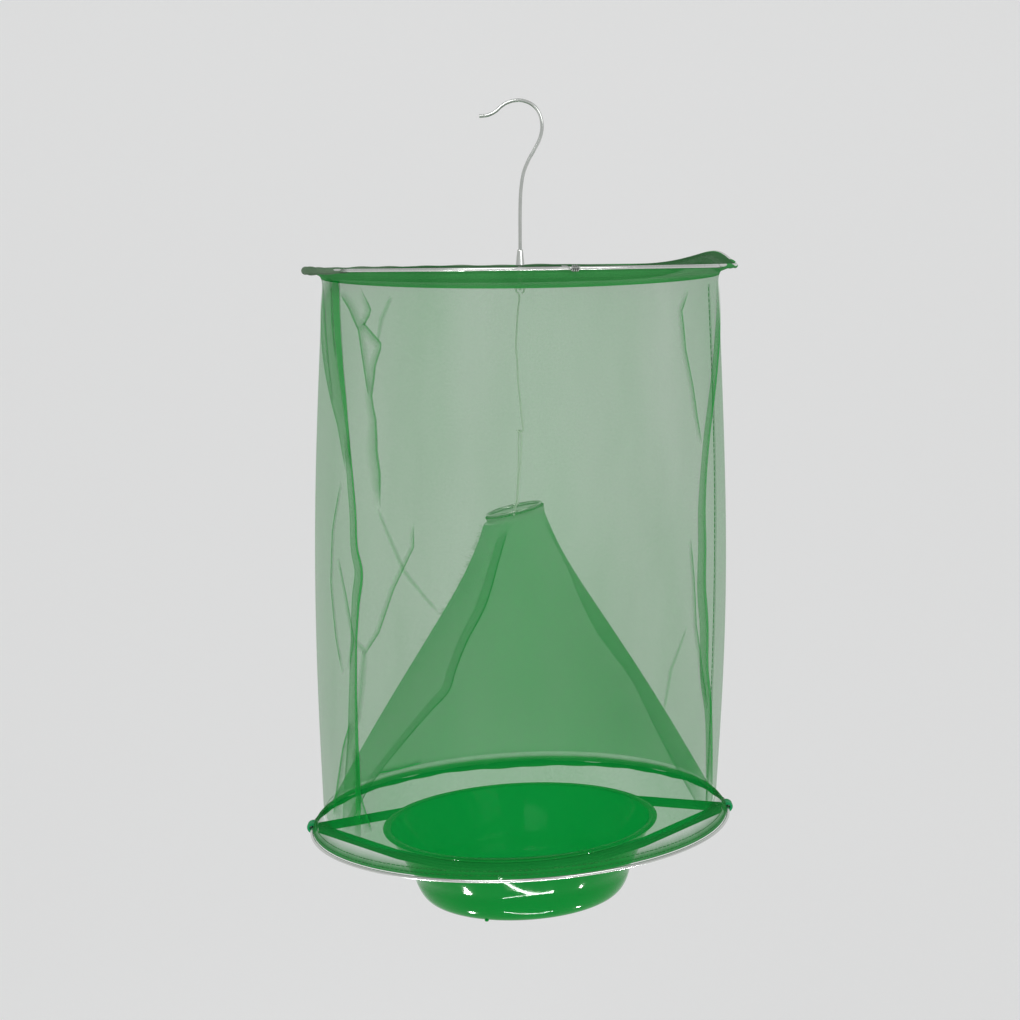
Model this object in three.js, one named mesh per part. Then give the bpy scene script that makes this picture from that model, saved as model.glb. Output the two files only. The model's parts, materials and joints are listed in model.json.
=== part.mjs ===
// A hanging net trap for flies and other insects: a net cage between two spring-wire hoops, a net
// cone inside it, a bait bowl slung under the mouth, and a wire hook that carries the whole.
//
// Units are millimetres. +Z points up, -Y is the front. The origin is the hang point: the inside
// of the hook's crown, where the branch or nail touches it. Everything else hangs below it.

import * as THREE from 'three';

// ---- Driving dimensions --------------------------------------------------------------------

const GAP = 0.3;                     // clearance between pieces that touch
const HOOP_DROP = 87;                // hang point down to the top hoop's plane
const CAGE_HEIGHT = 302;             // top hoop's plane down to the bottom hoop's plane
const HOOP_RADIUS = 115;             // centreline of both hoops
const HOOP_WIRE = 0.85;              // radius of the hoops' spring wire
const HOOP_ROLL = 3.0;               // degrees that the bottom hoop hangs out of level
const TOP_ROLL = 0.7;                // degrees that the top hoop hangs out of level
const HOOP_KINK = 7;                 // height of the bent-up stretch of the top hoop
const KINK_AT = 20;                  // where that stretch is, in degrees round from +X
const KINK_SPREAD = 16;              // degrees over which it fades out towards the back
const KINK_FRONT_SPREAD = 13;        // and towards the front
const TIE_TURNS = 3;                 // turns of the binding wire on each hoop
const TIE_WIRE = 0.4;                // radius of the binding wire
const TOP_TIE_AT = -77;              // where the top hoop's ends are tied, in degrees
const BOTTOM_TIE_AT = 100;           // where the bottom hoop's ends are tied, in degrees

const HOOK_WIRE = 0.95;              // radius of the hook's wire
const EYE_RADIUS = 3.8;              // centreline of the eye under the top panel
const EYE_DROP = 7.6;                // top hoop's plane down to the eye's centre
const FERRULE_HEIGHT = 9;
const FERRULE_BASE = 2.5;            // outer radius at the bottom
const FERRULE_TOP = 1.5;             // outer radius at the top
const FERRULE_FIT = 0.15;            // radial clearance round the hook's stem

const NET = 0.6;                     // thickness that stands for the net
const STEM_HOLE = 1.8;               // radius of the hole in the top panel
const PATCH_RADIUS = 9;
const TOP_HEM = 9;                   // height of the hem under the top hoop
const BOTTOM_HEM = 9.5;              // height of the hem over the bottom hoop
const HEM_START = 3.2;               // hoop's plane to the near edge of either hem
const HEM_TUCK = 1.2;                // hoop's centreline in to a hem's outer edge
const NET_TOP_INSET = 9.3;           // hoop's centreline in to the net at its top end
const NET_MIDDLE_INSET = 3.6;        // the same where the net barrels out
const NET_BOTTOM_INSET = 7;          // the same at its bottom end
const SEAM_WIDTH = 4;                // width of the seam bands
const SIDE_SEAM_AT = -22;            // degrees round from +X
const CONE_SEAM_AT = -130;

const CONE_HEIGHT = 172;             // bottom hoop's plane up to the ring in the cone's top
const CONE_BASE_INSET = 1.4;         // cage net's bottom end in to the cone's base
const CONE_SAG = 4;                  // how far the cone's wall hangs in from a straight line
const CONE_RING_RADIUS = 15.1;
const CONE_RING_WIRE = 0.5;
const CONE_RING_ROLL = 13.6;         // degrees that the ring hangs out of level
const CONE_RING_SHIFT = -3.3;        // the ring hangs this far to the left of the axis
const CONE_HEM = 4.5;                // height of the hem round the cone's top

const WIRE = 0.45;                   // radius of the inner hanging wire
const WIRE_EYE = 2.2;                // centreline of its upper eye
const WIRE_HOOK = 1.65;              // centreline of the small hook at its lower end
const WIRE_STRAIGHT = 8;             // straight run above the small hook's lowest point
const BAIL_HEIGHT = 41.6;            // ring's plane up to where the wire's small hook ends
const BAIL_WIRE = 0.4;
const BAIL_FIT = 0.15;               // clearance of the bail's loop in the small hook
const BAIL_TURN = 25;                // degrees that the bail's long loop is twisted
const BAIL_HALF = 1.7;               // half the width of the long loop at its top
const NECK_LOW = 3;                  // ring's plane up to the bottom of the twisted neck
const NECK_HIGH = 9;                 // ring's plane up to its top

const RIM_DROP = 1.6;                // bottom hoop's plane down to the bowl's rim
const RIM_WIDTH = 3;                 // how far the lip stands out from the wall
const RIM_LIP = 1.3;                 // thickness of the rim's lip
const BOWL_DEPTH = 41;
const BOWL_WALL = 1.5;
const BOWL_MOUTH = 73;               // outer radius of the wall just under the lip
const BOWL_WAIST = 60.5;             // outer radius where the wall turns in to the base
const WAIST_DROP = 26.3;             // rim down to that turn
const BOWL_BASE = 50;                // radius of the flat base

const STRAP_THICK = 0.9;
const STRAP_WIDTH = 5.5;
const STRAP_LIFT = 5;                // how far the straps rise from the bowl to the hoop
const LOOP_OUTER = 3.1;              // outer radius of the loops that tie the straps to the hoop
const LOOP_LENGTH = 9;

const ROUND = 40;                    // facets round the nets, the bowl and the top panel
const HOOP_FACETS = 48;              // facets round a hoop
const WIRE_SIDES = 6;                // facets across a wire
const HOOK_FACET = 2.1;              // length of the facets along the hook
const WIRE_FACET = 1.45;             // length of the facets along the thin inner wires
const ROWS = 6;                      // rows of facets up the cage net

// ---- Places that follow from them ----------------------------------------------------------

const TOP_Z = -HOOP_DROP;
const BOTTOM_Z = TOP_Z - CAGE_HEIGHT;
const EYE_Z = TOP_Z - EYE_DROP;
const PIVOT_Z = EYE_Z - EYE_RADIUS;
const RING_Z = BOTTOM_Z + CONE_HEIGHT;
const WIRE_END_Z = RING_Z + BAIL_HEIGHT;
const WIRE_LENGTH = PIVOT_Z - WIRE_END_Z;
const NET_TOP_RADIUS = HOOP_RADIUS - NET_TOP_INSET;
const NET_MIDDLE_RADIUS = HOOP_RADIUS - NET_MIDDLE_INSET;
const NET_BOTTOM_RADIUS = HOOP_RADIUS - NET_BOTTOM_INSET;
const CONE_BASE_RADIUS = NET_BOTTOM_RADIUS - CONE_BASE_INSET;
const RIM_RADIUS = BOWL_MOUTH + RIM_WIDTH;
const CONE_BASE_Z = BOTTOM_Z + BOTTOM_HEM - 0.5;
const STRAP_RADIUS = BOWL_MOUTH + GAP + 0.2;
const STRAP_END = HOOP_RADIUS - LOOP_OUTER - GAP * 2;

const radians = THREE.MathUtils.degToRad;
const model = new THREE.Group();

const steel = { color: 0xb9bdb9, roughness: 0.28, metalness: 1 };
const darkSteel = { color: 0x6f746f, roughness: 0.4, metalness: 1 };
const netGreen = { color: 0x4a9a5c, roughness: 0.85, metalness: 0 };
const hemGreen = { color: 0x3b7f49, roughness: 0.85, metalness: 0 };
const strapGreen = { color: 0x1f8040, roughness: 0.6, metalness: 0 };
const loopGreen = { color: 0x1f9158, roughness: 0.35, metalness: 0 };
const bowlGreen = { color: 0x03924a, roughness: 0.22, metalness: 0 };

function addPiece(name, geometry, finish, parent = model) {
  const mesh = new THREE.Mesh(geometry, new THREE.MeshStandardMaterial(finish));
  mesh.name = name;
  parent.add(mesh);
  return mesh;
}

// ---- Shape helpers -------------------------------------------------------------------------

// A round wire along a smooth path through the given points, in facets of about one length.
function wireAlong(points, radius, facet, sides = WIRE_SIDES) {
  const curve = new THREE.CatmullRomCurve3(points, false, 'centripetal');
  const steps = Math.round(curve.getLength() / facet);
  const section = new THREE.Shape();
  for (let side = 0; side < sides; side += 1) {
    const angle = (2 * Math.PI * side) / sides;
    const x = radius * Math.cos(angle);
    const y = radius * Math.sin(angle);
    if (side === 0) section.moveTo(x, y);
    else section.lineTo(x, y);
  }
  section.closePath();
  return new THREE.ExtrudeGeometry(section, { steps, extrudePath: curve });
}

// A body turned about Z from a closed outline of [radius, height] corners.
function turned(outline, segments) {
  const profile = outline.map(([radius, height]) => new THREE.Vector2(radius, height));
  const geometry = new THREE.LatheGeometry(profile, segments);
  geometry.rotateX(Math.PI / 2);
  return geometry;
}

// The closed outline of a thin turned skin between two heights. radiusAt takes a share of the
// way up, from 0 to 1.
function skinOutline(radiusAt, bottom, top) {
  const outer = [];
  const inner = [];
  for (let row = 0; row <= ROWS; row += 1) {
    const share = row / ROWS;
    const z = THREE.MathUtils.lerp(bottom, top, share);
    outer.push([radiusAt(share) + NET / 2, z]);
    inner.push([radiusAt(share) - NET / 2, z]);
  }
  return [...outer, ...inner.reverse(), outer[0]];
}

// Moves every vertex to where place(vertex) puts it.
function reshape(geometry, place) {
  const position = geometry.attributes.position;
  const vertex = new THREE.Vector3();
  for (let index = 0; index < position.count; index += 1) {
    vertex.fromBufferAttribute(position, index);
    place(vertex);
    position.setXYZ(index, vertex.x, vertex.y, vertex.z);
  }
  return geometry;
}

// How far the top hoop stands above its mean plane: a small roll, and a bent-up stretch.
function topOffset(x, y) {
  const reach = Math.min(1, Math.hypot(x, y) / HOOP_RADIUS);
  const turn = THREE.MathUtils.radToDeg(Math.atan2(y, x)) - KINK_AT;
  const away = Math.abs(turn) > 180 ? 360 - Math.abs(turn) : Math.abs(turn);
  const spread = turn < 0 && turn > -180 ? KINK_FRONT_SPREAD : KINK_SPREAD;
  const kink = HOOP_KINK * Math.exp(-((away / spread) ** 2)) * reach ** 3;
  return kink + x * Math.tan(radians(TOP_ROLL));
}

function bottomOffset(x) {
  return x * Math.tan(radians(HOOP_ROLL));
}

// Bends a piece that was made level in the top hoop's plane to follow the hoop.
function followTopHoop(geometry) {
  return reshape(geometry, (vertex) => {
    vertex.z += TOP_Z + topOffset(vertex.x, vertex.y);
  });
}

// Turns of fine wire round a hoop's wire, the middle turn at the given angle round the hoop.
function bindingCoil(atDegrees, height) {
  const around = HOOP_WIRE + GAP + TIE_WIRE;
  const pitch = TIE_WIRE * 2 + GAP;
  const perTurn = 8;
  const points = [];
  for (let step = 0; step <= TIE_TURNS * perTurn; step += 1) {
    const along = (step / perTurn - TIE_TURNS / 2) * pitch;
    const turn = (2 * Math.PI * step) / perTurn;
    const angle = radians(atDegrees) + along / HOOP_RADIUS;
    const radius = HOOP_RADIUS + around * Math.cos(turn);
    const x = radius * Math.cos(angle);
    const y = radius * Math.sin(angle);
    points.push(new THREE.Vector3(x, y, around * Math.sin(turn) + height(x, y)));
  }
  return wireAlong(points, TIE_WIRE, (2 * Math.PI * around) / perTurn);
}

// ---- Hook ----------------------------------------------------------------------------------

// One bent wire: the free end, the crown, the stem down through the top panel, and the eye under it.
function hangingHook() {
  const stem = [
    [-21.7, -7.3], [-17.5, -6.9], [-13.3, -5.0], [-9.8, -2.0], [-6.2, 0.0], [0, 0.95],
    [6.2, -1.2], [10.2, -6.0], [11.6, -12.5], [10.6, -18.5], [8.0, -24.0], [4.6, -30.0],
    [1.8, -37.0], [0.4, -46.0], [0, -56.0], [0, TOP_Z + 16], [0, TOP_Z + 8],
    [0, TOP_Z + 3], [0, TOP_Z], [0, TOP_Z - 1.4],
  ];
  const points = stem.map(([x, z]) => new THREE.Vector3(x, 0, z));
  for (let degrees = 60; degrees >= -240; degrees -= 30) {
    const y = EYE_RADIUS * Math.cos(radians(degrees));
    const z = EYE_Z + EYE_RADIUS * Math.sin(radians(degrees));
    points.push(new THREE.Vector3(0, y, z));
  }
  return wireAlong(points, HOOK_WIRE, HOOK_FACET, 8);
}

function ferrule() {
  const bore = HOOK_WIRE + FERRULE_FIT;
  const bottom = TOP_Z + NET / 2 + GAP;
  const top = bottom + FERRULE_HEIGHT;
  return turned([
    [bore, bottom], [FERRULE_BASE, bottom], [FERRULE_TOP, top - 0.6],
    [FERRULE_TOP - 0.2, top], [bore, top], [bore, bottom],
  ], 20);
}

addPiece('hanging_hook', hangingHook(), steel);
addPiece('hook_ferrule', ferrule(), steel);

// ---- Top of the cage -----------------------------------------------------------------------

function hoop() {
  return new THREE.TorusGeometry(HOOP_RADIUS, HOOP_WIRE, WIRE_SIDES, HOOP_FACETS);
}

function topPanel() {
  const rim = HOOP_RADIUS - HOOP_WIRE - TIE_WIRE * 2 - GAP * 2;
  const middle = rim * 0.7;
  const half = NET / 2;
  return followTopHoop(turned([
    [STEM_HOLE, -half], [middle, -half], [rim, -half],
    [rim, half], [middle, half], [STEM_HOLE, half], [STEM_HOLE, -half],
  ], ROUND));
}

function topPatch() {
  const top = TOP_Z - NET / 2 - GAP;
  return turned([
    [STEM_HOLE, top - NET], [PATCH_RADIUS, top - NET], [PATCH_RADIUS, top],
    [STEM_HOLE, top], [STEM_HOLE, top - NET],
  ], 24);
}

// A hem is a sloping band from just inside a hoop to the edge of the cage net.
function hemOutline(height, netRadius, direction) {
  const outer = HOOP_RADIUS - HEM_TUCK;
  const outline = [
    [outer - NET - 0.2, HEM_START * direction], [outer, HEM_START * direction],
    [netRadius + NET / 2, height * direction], [netRadius - NET / 2, height * direction],
    [outer - NET - 0.2, HEM_START * direction],
  ];
  return direction > 0 ? outline : outline.reverse();
}

addPiece('top_hoop', followTopHoop(hoop()), steel);
const topTieHeight = (x, y) => TOP_Z + topOffset(x, y);
addPiece('top_hoop_tie', bindingCoil(TOP_TIE_AT, topTieHeight), darkSteel);
addPiece('top_panel', topPanel(), netGreen);
addPiece('top_patch', topPatch(), hemGreen);
const topHem = turned(hemOutline(TOP_HEM, NET_TOP_RADIUS, -1), ROUND);
addPiece('top_hem', followTopHoop(topHem), hemGreen);

// ---- Net of the cage -----------------------------------------------------------------------

const netTop = TOP_Z - TOP_HEM - GAP;
const netBottom = BOTTOM_Z + BOTTOM_HEM + GAP;

// Radius of the cage net: barrelled between its two ends. share is 0 at the top, 1 at the bottom.
function netRadius(share) {
  const straight = THREE.MathUtils.lerp(NET_TOP_RADIUS, NET_BOTTOM_RADIUS, share);
  const middle = (NET_TOP_RADIUS + NET_BOTTOM_RADIUS) / 2;
  return straight + (NET_MIDDLE_RADIUS - middle) * Math.sin(Math.PI * share);
}

// The net's two ends follow the two hoops, and what is between them blends.
function followCage(geometry) {
  return reshape(geometry, (vertex) => {
    const share = (netTop - vertex.z) / (netTop - netBottom);
    const up = topOffset(vertex.x, vertex.y) * (1 - share) + bottomOffset(vertex.x) * share;
    vertex.z += up;
  });
}

function cageNet() {
  const outline = skinOutline((share) => netRadius(1 - share), netBottom, netTop);
  return followCage(turned(outline, ROUND));
}

function sideSeam() {
  const height = netTop - netBottom;
  const strip = new THREE.BoxGeometry(NET, SEAM_WIDTH, height, 1, 1, ROWS * 2);
  strip.translate(0, 0, (netTop + netBottom) / 2);
  reshape(strip, (vertex) => {
    const share = (netTop - vertex.z) / height;
    vertex.x += netRadius(share) - NET * 1.5 - GAP;
  });
  strip.rotateZ(radians(SIDE_SEAM_AT));
  return followCage(strip);
}

addPiece('cage_net', cageNet(), netGreen);
addPiece('side_seam', sideSeam(), hemGreen);

// ---- Net cone ------------------------------------------------------------------------------

const coneTop = RING_Z - CONE_HEM - GAP;
const coneTopRadius = CONE_RING_RADIUS + 1.2;

function coneRadius(share) {
  const straight = THREE.MathUtils.lerp(CONE_BASE_RADIUS, coneTopRadius, share);
  return straight - CONE_SAG * Math.sin(Math.PI * share ** 3);
}

// Leans the cone from the hoop's roll at its base to the ring's roll and side shift at its top.
function leanCone(geometry) {
  return reshape(geometry, (vertex) => {
    const share = (vertex.z - CONE_BASE_Z) / (coneTop - CONE_BASE_Z);
    const lean = THREE.MathUtils.lerp(HOOP_ROLL, CONE_RING_ROLL, share ** 3);
    vertex.z += vertex.x * Math.tan(radians(lean));
    vertex.x += CONE_RING_SHIFT * share;
  });
}

function coneNet() {
  return leanCone(turned(skinOutline(coneRadius, CONE_BASE_Z, coneTop), ROUND));
}

function coneSeam() {
  const height = coneTop - CONE_BASE_Z;
  const strip = new THREE.BoxGeometry(NET, SEAM_WIDTH, height, 1, 1, ROWS * 2);
  strip.translate(0, 0, (coneTop + CONE_BASE_Z) / 2);
  reshape(strip, (vertex) => {
    const share = (vertex.z - CONE_BASE_Z) / height;
    vertex.x += coneRadius(share) - NET * 1.5 - GAP;
  });
  strip.rotateZ(radians(CONE_SEAM_AT));
  return leanCone(strip);
}

addPiece('cone_net', coneNet(), netGreen);
addPiece('cone_seam', coneSeam(), hemGreen);

// ---- Ring and hem in the cone's top, hung out of level --------------------------------------

const ringGroup = new THREE.Group();
ringGroup.position.set(CONE_RING_SHIFT, 0, RING_Z);
ringGroup.rotation.y = -radians(CONE_RING_ROLL);
model.add(ringGroup);

function coneHem() {
  const inner = CONE_RING_RADIUS + 0.5;
  const pinRoom = CONE_RING_WIRE + BAIL_WIRE * 2 + GAP * 2;
  return turned([
    [inner, -CONE_HEM], [inner + NET, -CONE_HEM], [inner + NET, -pinRoom],
    [inner, -pinRoom], [inner, -CONE_HEM],
  ], 32);
}

const ring = new THREE.TorusGeometry(CONE_RING_RADIUS, CONE_RING_WIRE, WIRE_SIDES, 32);
addPiece('cone_ring', ring, steel, ringGroup);
addPiece('cone_ring_hem', coneHem(), hemGreen, ringGroup);

// ---- Inner hanging wire and the cone's bail --------------------------------------------------

// An eye that hangs in the hook's eye, a run with the kinks that handling leaves, given as sideways
// set and share of the way down, and a small open hook at the lower end.
function hangingWire() {
  const centre = PIVOT_Z - 0.5;
  const points = [];
  for (let degrees = -65; degrees <= 245; degrees += 31) {
    const x = WIRE_EYE * Math.cos(radians(degrees));
    const z = centre + WIRE_EYE * Math.sin(radians(degrees));
    points.push(new THREE.Vector3(x, 0, z));
  }
  const bends = [
    [-0.4, 0.06], [-1.2, 0.156], [-1.9, 0.312], [-2.2, 0.403],
    [-1.5, 0.506], [-1.0, 0.649], [0.3, 0.805],
  ];
  bends.forEach(([x, share]) => {
    points.push(new THREE.Vector3(x, 0, PIVOT_Z - share * WIRE_LENGTH));
  });
  points.push(new THREE.Vector3(0.9, 0, WIRE_END_Z + WIRE_STRAIGHT));
  for (let degrees = 0; degrees >= -165; degrees -= 27.5) {
    const x = WIRE_HOOK * Math.cos(radians(degrees));
    const z = WIRE_END_Z + WIRE_HOOK + WIRE_HOOK * Math.sin(radians(degrees));
    points.push(new THREE.Vector3(x, 0, z));
  }
  return wireAlong(points, WIRE, WIRE_FACET);
}

// The bail is one wire: a foot under the ring, up one side of a narrow loop, over the small hook,
// down the other side, and out to the foot opposite.
function coneBail() {
  const feetZ = RING_Z - CONE_RING_WIRE - GAP - BAIL_WIRE;
  const topZ = WIRE_END_Z + WIRE + BAIL_WIRE + BAIL_FIT;
  const side = [
    [CONE_RING_SHIFT, CONE_RING_RADIUS + 2, feetZ],
    [CONE_RING_SHIFT, CONE_RING_RADIUS - 2.2, feetZ],
    [CONE_RING_SHIFT + 0.8, 5.5, RING_Z + NECK_LOW - 2],
  ];
  const turn = radians(BAIL_TURN);
  const strands = [
    [CONE_RING_SHIFT + 1.6, 0.62, RING_Z + NECK_LOW],
    [CONE_RING_SHIFT + 2.0, 0.58, RING_Z + NECK_HIGH],
    [-0.6, 0.95, RING_Z + 18], [-0.1, 1.35, RING_Z + 27], [0, BAIL_HALF, topZ - 5],
    [0, BAIL_HALF * 0.86, topZ - 1.1],
  ];
  strands.forEach(([x, half, z]) => {
    side.push([x - half * Math.sin(turn), half * Math.cos(turn), z]);
  });
  const front = side.map(([x, y, z]) => new THREE.Vector3(x, -y, z));
  strands.forEach(([x, half, z], index) => {
    front[index + 3] = new THREE.Vector3(x + half * Math.sin(turn), -half * Math.cos(turn), z);
  });
  const back = side.map(([x, y, z]) => new THREE.Vector3(x, y, z)).reverse();
  const over = new THREE.Vector3(0, 0, topZ);
  return wireAlong([...front, over, ...back], BAIL_WIRE, WIRE_FACET);
}

addPiece('hanging_wire', hangingWire(), steel);
addPiece('cone_bail', coneBail(), steel);

// ---- Bottom of the cage, hung out of level ---------------------------------------------------

const bottomGroup = new THREE.Group();
bottomGroup.position.set(0, 0, BOTTOM_Z);
bottomGroup.rotation.y = -radians(HOOP_ROLL);
model.add(bottomGroup);

// A loop of plastic tape round the hoop's wire, where the two straps are tied to it.
function strapLoop(side) {
  const bore = HOOP_WIRE + GAP + 0.1;
  const half = LOOP_LENGTH / 2;
  const loop = turned([
    [bore, -half], [LOOP_OUTER - 0.5, -half], [LOOP_OUTER, -half + 0.8], [LOOP_OUTER, half - 0.8],
    [LOOP_OUTER - 0.5, half], [bore, half], [bore, -half],
  ], 20);
  loop.rotateX(Math.PI / 2);
  loop.translate(side * HOOP_RADIUS, 0, 0);
  return loop;
}

addPiece('bottom_hoop', hoop(), steel, bottomGroup);
addPiece('bottom_hoop_tie', bindingCoil(BOTTOM_TIE_AT, () => 0), darkSteel, bottomGroup);
const bottomHem = turned(hemOutline(BOTTOM_HEM, NET_BOTTOM_RADIUS, 1), ROUND);
addPiece('bottom_hem', bottomHem, hemGreen, bottomGroup);
addPiece('strap_loop_left', strapLoop(-1), loopGreen, bottomGroup);
addPiece('strap_loop_right', strapLoop(1), loopGreen, bottomGroup);

// A strap runs straight from the left loop to the bowl, round half of it under the lip, and
// straight on to the right loop. side is -1 for the front strap and 1 for the back one.
function strap(side) {
  const reach = Math.acos(STRAP_RADIUS / STRAP_END);
  const halfArc = STRAP_RADIUS * (Math.PI / 2 - reach);
  const straight = Math.sqrt(STRAP_END ** 2 - STRAP_RADIUS ** 2);
  const clearOfLip = Math.sqrt((RIM_RADIUS + 1) ** 2 - STRAP_RADIUS ** 2);
  const length = 2 * (halfArc + straight);
  const top = -RIM_DROP - RIM_LIP - GAP;
  const ribbon = new THREE.BoxGeometry(length, STRAP_THICK, STRAP_WIDTH, 48, 1, 1);
  ribbon.translate(0, -STRAP_THICK / 2, top - STRAP_WIDTH / 2);
  reshape(ribbon, (vertex) => {
    const radius = STRAP_RADIUS - vertex.y;
    const beyond = Math.max(0, Math.abs(vertex.x) - halfArc);
    const turn = Math.min(Math.abs(vertex.x), halfArc) / STRAP_RADIUS;
    const across = radius * Math.sin(turn) + beyond * Math.cos(turn);
    const ahead = radius * Math.cos(turn) - beyond * Math.sin(turn);
    const lift = Math.max(0, beyond - clearOfLip) / (straight - clearOfLip);
    vertex.z += STRAP_LIFT * lift;
    vertex.x = Math.sign(vertex.x) * across;
    vertex.y = -ahead - GAP * 2;
  });
  if (side > 0) ribbon.rotateZ(Math.PI);
  return ribbon;
}

addPiece('strap_front', strap(-1), strapGreen, bottomGroup);
addPiece('strap_back', strap(1), strapGreen, bottomGroup);

// ---- Bait bowl -----------------------------------------------------------------------------

// The wall's outline from the flat base up to the lip, moved in by the wall's thickness.
function bowlSide(inset) {
  const base = new THREE.Vector2(BOWL_BASE - inset * 0.5, -BOWL_DEPTH + inset);
  const turnIn = new THREE.Vector2(BOWL_WAIST - 3 - inset, -BOWL_DEPTH + inset + 0.5);
  const waist = new THREE.Vector2(BOWL_WAIST - inset, -WAIST_DROP);
  const belly = new THREE.Vector2((BOWL_WAIST + BOWL_MOUTH) / 2 + 1 - inset, -WAIST_DROP / 2 - 1);
  const mouth = new THREE.Vector2(BOWL_MOUTH - inset, -RIM_LIP);
  const corner = new THREE.QuadraticBezierCurve(base, turnIn, waist).getPoints(5);
  const wall = new THREE.QuadraticBezierCurve(waist, belly, mouth).getPoints(3);
  return [...corner, ...wall.slice(1)].map((point) => [point.x, point.y]);
}

function baitBowl() {
  const outline = [
    [0, -BOWL_DEPTH], ...bowlSide(0), [RIM_RADIUS - 0.4, -RIM_LIP], [RIM_RADIUS, -RIM_LIP / 2],
    [RIM_RADIUS - 0.4, 0], [BOWL_MOUTH - BOWL_WALL + 0.4, 0],
    ...bowlSide(BOWL_WALL).reverse(), [0, -BOWL_DEPTH + BOWL_WALL],
  ];
  const bowl = turned(outline, ROUND);
  bowl.translate(0, 0, -RIM_DROP);
  return bowl;
}

addPiece('bait_bowl', baitBowl(), bowlGreen, bottomGroup);

export default model;
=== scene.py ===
# %% [markdown]
# # Hanging net fly trap: the visual model
#
# The CAD frame gives the places, the bodies and the joints. This script dresses it: smooth bent
# wire, sheer net with its pleats, folded hems, woven straps and a glossy moulded bowl. Lengths
# inside the script are millimetres until a mesh is made, because the net's pleats and stitches are
# a few millimetres across.

# %%
import json
import math

import bmesh
import bpy
import numpy as np
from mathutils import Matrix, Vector


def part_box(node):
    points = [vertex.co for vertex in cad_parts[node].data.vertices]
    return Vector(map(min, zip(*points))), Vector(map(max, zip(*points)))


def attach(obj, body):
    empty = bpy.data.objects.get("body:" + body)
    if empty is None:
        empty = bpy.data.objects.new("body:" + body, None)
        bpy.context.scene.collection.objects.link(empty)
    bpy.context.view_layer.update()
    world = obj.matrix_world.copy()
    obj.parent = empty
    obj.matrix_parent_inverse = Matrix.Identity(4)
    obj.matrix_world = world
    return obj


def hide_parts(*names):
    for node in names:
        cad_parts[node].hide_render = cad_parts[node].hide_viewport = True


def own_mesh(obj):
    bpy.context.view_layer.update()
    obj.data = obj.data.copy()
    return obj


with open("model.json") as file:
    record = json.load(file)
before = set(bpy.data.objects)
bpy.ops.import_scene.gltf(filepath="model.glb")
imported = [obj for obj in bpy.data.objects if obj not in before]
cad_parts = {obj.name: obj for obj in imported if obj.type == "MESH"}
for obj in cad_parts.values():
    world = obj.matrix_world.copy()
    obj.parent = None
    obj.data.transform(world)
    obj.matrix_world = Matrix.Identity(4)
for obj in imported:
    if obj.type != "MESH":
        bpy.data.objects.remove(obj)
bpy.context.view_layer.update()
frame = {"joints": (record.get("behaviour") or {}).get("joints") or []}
MM = 0.001
SEED = 7
rng = np.random.default_rng(SEED)
joints = {joint["name"]: joint for joint in frame["joints"]}

# %% [markdown]
# ## Places taken from the frame
#
# The joints give the planes of the two hoops and the pivots of the inner wires, and the boxes of
# the CAD nodes give the hoops' size and the bowl's tilt, so the dressed pieces sit on the CAD ones.

# %%
TOP_Z = joints["hook_swivel"]["pos_m"][2] / MM
BOTTOM_Z = joints["bowl_rock"]["pos_m"][2] / MM
PIVOT_Z = joints["wire_fold"]["pos_m"][2] / MM
BAIL_FEET_Z = joints["bail_fold"]["pos_m"][2] / MM
RING_X = joints["bail_fold"]["pos_m"][0] / MM
TILT_AXIS = joints["bowl_rock"]["axis"]
TILT = math.atan2(TILT_AXIS[2], TILT_AXIS[0])

HOOP_WIRE = 0.85
hoop_low, hoop_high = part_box("bottom_hoop")
HOOP = (hoop_high.y - hoop_low.y) / 2 / MM - HOOP_WIRE
net_low, net_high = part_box("cage_net")
NET_TOP_Z = TOP_Z - 9.3
NET_BOTTOM_Z = BOTTOM_Z + 9.8
RING_Z = BAIL_FEET_Z + 1.2
RING = 15.1
RING_TILT = math.radians(13.6)
CONE_BASE_Z = BOTTOM_Z + 9
CONE_TOP_Z = RING_Z - 4.8
RIM_DROP = 1.6
print(f"hoops {HOOP * 2:.1f} mm across, {TOP_Z - BOTTOM_Z:.1f} mm apart; ring at {RING_Z:.1f}")


def top_rise(x, y):
    """How far the top hoop stands above its mean plane: a small roll and a bent-up stretch."""
    reach = np.minimum(1, np.hypot(x, y) / HOOP)
    turn = np.degrees(np.arctan2(y, x)) - 20
    away = np.minimum(np.abs(turn), 360 - np.abs(turn))
    spread = np.where((turn < 0) & (turn > -180), 13, 16)
    return 7 * np.exp(-((away / spread) ** 2)) * reach**3 + x * math.tan(math.radians(0.7))


def bottom_rise(x):
    """How far the bottom hoop stands above its mean plane."""
    return x * math.tan(TILT)


def tilted(points):
    """Points given in the bottom hoop's own plane, moved into the row frame."""
    p = np.asarray(points, float)
    cosine, sine = math.cos(TILT), math.sin(TILT)
    x, y, z = p[..., 0], p[..., 1], p[..., 2]
    return np.stack([x * cosine - z * sine, y, x * sine + z * cosine + BOTTOM_Z], -1)


def ring_tilted(points):
    """Points given in the plane of the cone's ring, moved into the row frame."""
    p = np.asarray(points, float)
    cosine, sine = math.cos(RING_TILT), math.sin(RING_TILT)
    x, y, z = p[..., 0], p[..., 1], p[..., 2]
    return np.stack([x * cosine - z * sine + RING_X, y, x * sine + z * cosine + RING_Z], -1)


# %% [markdown]
# ## Mesh helpers
#
# Net, hems, straps and the bowl are all grids of points: one direction runs along the piece and
# the other across it. Each grid gets a UV map in metres so that a weave keeps its size, and a
# `layers` value that says how many thicknesses of net lie on each other at that point.


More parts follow.
